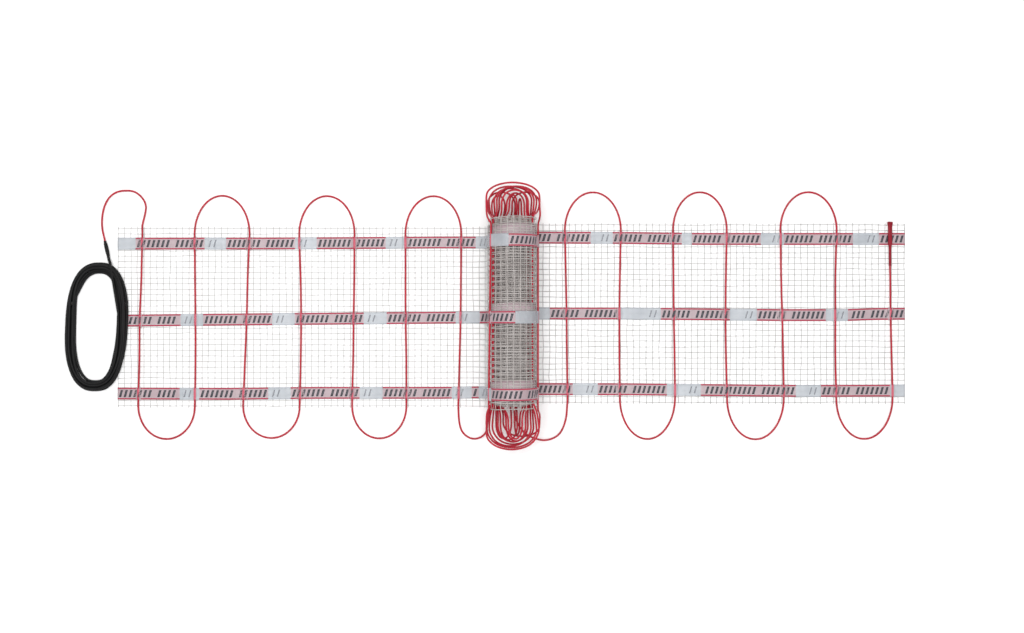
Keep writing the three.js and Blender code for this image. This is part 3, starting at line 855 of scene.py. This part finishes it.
def makeSeal():
    x = mat["halfLength"] - cable["lastRun"] + cable["rightShapes"][-1][0] - cable["rightShapes"][-1][1] / 2
    start = seal["end"] - seal["length"]
    # along the sleeve, its half width and its flatness
    stations = [(0, 2.2, 1), (1, 2.5, 1), (18, 2.55, 1), (34, 2.65, 1), (39, 2.9, 1), (43, 3.7, 0.8),
                (47, 4.2, 0.65), (56, 4.1, 0.63), (66, 4.3, 0.6), (76, 4.1, 0.6), (80, 4.5, 0.45),
                (83, 5.3, 0.28), (86.5, 5.5, 0.22), (88, 5.3, 0.2)]
    points = [(x, start + along, seal["lift"]) for along, _, _ in stations]
    widths = np.array([width for _, width, _ in stations])
    flats = np.array([flat for _, _, flat in stations])
    vertices, faces = sweptTube(points, widths, 24, flats)
    meshPiece("end_seal_shrunk", vertices, faces, [redSleeve], ["end_seal"])


makeSeal()


# Mounting tape with its print

tape = {
    "width": 24.5,
    "thickness": 0.12,
    "base": 0.95,
    "sag": 0.22,
    "crest": 0.15,
    "rise": 5.5,
    "contact": 2.3,       # half the strip of film that sticks to the cable
    "step": 3,
    "blockLength": 138,
    "wrapEnd": 230,       # s to which the left tapes are seen, on the roll
    "underRoll": 24,
    "lineWidth": 2.4,
    "lineInset": 0.6,
    "barHeight": 14,
    "barWidth": 4.6,
    "barPitch": 9.6,
    "barSlant": 4,
}
# The middle of each tape along Y, at distances along the sheet from the mat's end.
tapeLines = {
    "top_left": [(0, 144.6), (300, 145), (450, 145.6), (640, 147), (780, 147), (1000, 146)],
    "middle_left": [(0, -9.4), (200, -7.4), (400, -5.6), (640, -3.4), (780, -2.6), (1000, -2)],
    "bottom_left": [(0, -155), (220, -155.6), (400, -153.6), (640, -153.6), (780, -152), (1000, -151)],
    "top_right": [(0, 154), (400, 154), (560, 156), (800, 157)],
    "middle_right": [(0, 4.6), (60, 4), (120, 1.8), (240, 1.8), (400, 3.4), (560, 5), (800, 5)],
    "bottom_right": [(0, -149), (200, -149.8), (300, -149), (560, -146.4), (800, -146)],
}
# Where each printed block starts, at distances from the mat's end. A pair gives a block's own length too.
blocks = {
    "top_left": [36, 217, 398, 578, 850],
    "middle_left": [-12, 171, 354, 538, (724, 139)],
    "bottom_left": [-14, 163, 346, 530, (708, 14), 809],
    "top_right": [-86, 104, 288, 446, 628],
    "middle_right": [-24, 158, 350, 572],
    "bottom_right": [30, 218, (350, 58), 476, 664],
}


def tapeLift(s, y, crossings):
    cells = np.sin(math.pi * s / net["weftPitch"]) ** 2 * np.sin(math.pi * y / net["warpPitch"]) ** 2
    lift = tape["base"] - tape["sag"] * cells
    top = cable["lift"] + cable["diameter"] / 2 + tape["crest"]
    for at in crossings:
        share = np.clip((np.abs(s - at) - 0.8) / tape["rise"], 0, 1)
        lift = np.maximum(lift, tape["base"] + (top - tape["base"]) * (1 + np.cos(math.pi * share)) / 2)
    return lift


def filmPatch(place, centre, sList, yLow, yHigh, crossings, lift, thickness, rows):
    # A thin closed patch of film that follows the tape's surface.
    s = np.asarray(sList, float)[:, None]
    y = np.linspace(yLow, yHigh, rows)[None, :]
    height = tapeLift(s, y, crossings) + lift
    s, y = np.broadcast_arrays(s, y)
    lower = place(s, y + centre(s), height).reshape(-1, 3)
    upper = place(s, y + centre(s), height + thickness).reshape(-1, 3)
    return np.vstack([lower, upper]), filmFaces(len(sList), rows)


def filmFaces(count, rows):
    faces = []
    half = count * rows
    for i in range(count - 1):
        for j in range(rows - 1):
            a = i * rows + j
            faces.append((a, a + 1, a + rows + 1, a + rows))
            faces.append((half + a, half + a + rows, half + a + rows + 1, half + a + 1))
    rim = list(range(rows))
    rim += [i * rows + rows - 1 for i in range(1, count)]
    rim += [(count - 1) * rows + j for j in range(rows - 2, -1, -1)]
    rim += [i * rows for i in range(count - 2, 0, -1)]
    for a, b in zip(rim, rim[1:] + rim[:1]):
        faces.append((a, half + a, half + b, b))
    return faces


def joinPatches(patches):
    vertices, faces, first = [], [], 0
    for patchVertices, patchFaces in patches:
        vertices.append(patchVertices)
        faces += [tuple(first + k for k in face) for face in patchFaces]
        first += len(patchVertices)
    return np.vstack(vertices), faces


def makeTape(row, side, runs):
    name = "tape_" + row + "_" + side
    place = placeOf[side]
    origin = leftStart if side == "left" else rightStart
    low, high = origin, (tape["wrapEnd"] if side == "left" else -tape["underRoll"])
    distances, heights = zip(*tapeLines[row + "_" + side])

    def centre(s):
        return np.interp(s - origin, distances, heights)

    crossings = []
    for runSide, sTop, sBottom, bow in runs:
        if runSide != side or not low < sTop < high:
            continue
        middle = float(centre(sTop))
        top, bottom = loopBase(side, sTop, 1)[0], loopBase(side, sBottom, -1)[0]
        share = (top - middle) / (top - bottom)
        crossings.append(sTop + (sBottom - sTop) * share + bow * math.sin(math.pi * share))
    if row == "top" and side == "right":
        crossings.pop()    # the end seal lies on top of this tape
    printed = []
    for block in blocks[row + "_" + side]:
        start, length = block if isinstance(block, tuple) else (block, tape["blockLength"])
        a, b = max(origin + start, low), min(origin + start + length, high)
        if b - a > 8:
            printed.append((a, b))
    contacts = [(at - tape["contact"], at + tape["contact"]) for at in crossings]
    cuts = sorted({low, high, *[v for pair in printed + contacts for v in pair if low < v < high]})
    stations, kinds = [], []
    for a, b in zip(cuts[:-1], cuts[1:]):
        middle = (a + b) / 2
        kind = 1 if any(pa <= middle <= pb for pa, pb in printed) else 0
        # Film that lies on the cable takes the pink film with its painted highlight.
        kind = 2 if any(pa <= middle <= pb for pa, pb in contacts) else kind
        count = max(1, int(round((b - a) / tape["step"])))
        stations += list(np.linspace(a, b, count + 1)[:-1])
        kinds += [kind] * count
    stations.append(high)
    half, rows = tape["width"] / 2, 9
    vertices, faces = filmPatch(place, centre, stations, -half, half, crossings, 0, tape["thickness"], rows)
    faceKinds = []
    for kind in kinds:
        faceKinds += [kind] * (2 * (rows - 1))
    faceKinds += [0] * (len(faces) - len(faceKinds))
    meshPiece(name + "_film", vertices, faces, [clearTape, tintedTape, stuckTapeHighlight], [name],
              faceKinds)

    ink = {"lift": tape["thickness"] + 0.02, "thickness": 0.04}
    lines, bars, ghosts = [], [], []
    slant = tape["barSlant"] if side == "left" else -tape["barSlant"]
    for a, b in printed:
        sLine = np.linspace(a, b, max(2, int((b - a) / tape["step"])))
        for edge in (-1, 1):
            outer = edge * (half - tape["lineInset"])
            inner = edge * (half - tape["lineInset"] - tape["lineWidth"])
            lines.append(filmPatch(place, centre, sLine, min(outer, inner), max(outer, inner), crossings,
                                   ink["lift"], ink["thickness"], 2))
        bars += barPatches(place, centre, a, b, tape["barWidth"], slant, crossings, ink)
    for (_, a), (b, _) in zip(printed[:-1], printed[1:]):
        if b - a > 30:
            ghosts += barPatches(place, centre, a + 5, a + 31, tape["barWidth"] * 0.6, slant, crossings, ink)
    for kind, patches, material in (("_edge_lines", lines, redInk), ("_marks", bars, greyInk),
                                    ("_faint_marks", ghosts, paleInk)):
        inkVertices, inkFaces = joinPatches(patches)
        meshPiece(name + kind, inkVertices, inkFaces, [material])


def barPatches(place, centre, a, b, width, slant, crossings, ink):
    # Plain slanted bars in two groups, as on striped marking tape.
    patches = []
    count = int(tape["blockLength"] / tape["barPitch"])
    skipped = count // 2
    for i in range(count):
        s = a + 2.5 + i * tape["barPitch"]
        if i == skipped or s + width + abs(slant) > b:
            continue
        y = np.linspace(-tape["barHeight"] / 2, tape["barHeight"] / 2, 4)
        across = np.linspace(0, width, 4)
        sGrid = s + across[:, None] + abs(slant) / 2 + slant * y[None, :] / tape["barHeight"]
        yGrid = np.broadcast_to(y[None, :], sGrid.shape)
        height = tapeLift(sGrid, yGrid, crossings) + ink["lift"]
        lower = place(sGrid, yGrid + centre(sGrid), height).reshape(-1, 3)
        upper = place(sGrid, yGrid + centre(sGrid), height + ink["thickness"]).reshape(-1, 3)
        patches.append((np.vstack([lower, upper]), filmFaces(4, 4)))
    return patches


def makeWoundTape(row, side, sFrom, offset):
    # The same tape further in, between the layers of the roll.
    place, drift = placeOf[side], driftOf[side]
    outside = float(drift(np.array(sFrom)))

    def centre(s):
        return offset + drift(s) - outside

    stations = np.arange(sFrom, mat[side + "Wound"], 5)
    half = tape["width"] / 2
    film = filmPatch(place, centre, stations, -half, half, [], 0, tape["thickness"], 3)
    inset = half - tape["lineInset"]
    lines = [filmPatch(place, centre, stations, low, low + tape["lineWidth"], [], 0.14, 0.04, 2)
             for low in (-inset, inset - tape["lineWidth"])]
    vertices, faces = joinPatches([film] + lines)
    kinds = [0] * len(film[1]) + [1] * (len(faces) - len(film[1]))
    meshPiece("tape_" + row + "_" + side + "_inside_roll", vertices, faces, [tintedTape, redInk],
              (), kinds)


allRuns = cableRuns()
for row in ("top", "middle", "bottom"):
    makeTape(row, "left", allRuns)
    makeTape(row, "right", allRuns)
    makeWoundTape(row, "left", tape["wrapEnd"] + 1, tapeLines[row + "_left"][-1][1])
    makeWoundTape(row, "right", -tape["underRoll"] + 1, tapeLines[row + "_right"][-1][1])
print("tapes made")


# Floor and light

stage = {
    "floor": "#FDFDFD",
    "floorSize": 12000,
    "lamps": [
        {"at": (0, 0, 2700), "size": 2600, "power": 38},
        {"at": (-900, 900, 2600), "size": 2600, "power": 33},
        {"at": (1500, -1200, 2400), "size": 2200, "power": 15},
    ],
    "sky": 0.5,
}


def makeStage():
    material = newMaterial("paintedBoard")
    coords = addNode(material, "ShaderNodeTexCoord").outputs["Object"]
    colour = colourSpread(material, coords, 400, "#FBFBFB", stage["floor"])
    shader = addNode(material, "ShaderNodeBsdfPrincipled", {"Roughness": 0.9, "Specular IOR Level": 0.1},
                     {"Base Color": colour})
    finishMaterial(material, shader)
    half = stage["floorSize"] / 2 * mm
    mesh = bpy.data.meshes.new("floor")
    corners = [(-half, -half, 0), (half, -half, 0), (half, half, 0), (-half, half, 0)]
    mesh.from_pydata(corners, [], [(0, 1, 2, 3)])
    mesh.materials.append(material)
    floor = bpy.data.objects.new("floor", mesh)
    floor.location.z = -0.0002
    bpy.context.scene.collection.objects.link(floor)
    for i, lamp in enumerate(stage["lamps"]):
        data = bpy.data.lights.new("softbox" + str(i), "AREA")
        data.size = lamp["size"] * mm
        data.energy = lamp["power"]
        obj = bpy.data.objects.new("softbox" + str(i), data)
        obj.location = np.array(lamp["at"]) * mm
        bpy.context.scene.collection.objects.link(obj)
        aim = -np.array(lamp["at"], float)
        tilt = math.atan2(math.hypot(aim[0], aim[1]), -aim[2])
        obj.rotation_euler = (tilt, 0, math.atan2(aim[0], -aim[1]) + math.pi)
    world = bpy.data.worlds.new("studio")
    bpy.context.scene.world = world
    world.use_nodes = True
    background = world.node_tree.nodes["Background"]
    background.inputs["Color"].default_value = fromHex("#FFFFFF")
    background.inputs["Strength"].default_value = stage["sky"]


makeStage()
print("stage made")
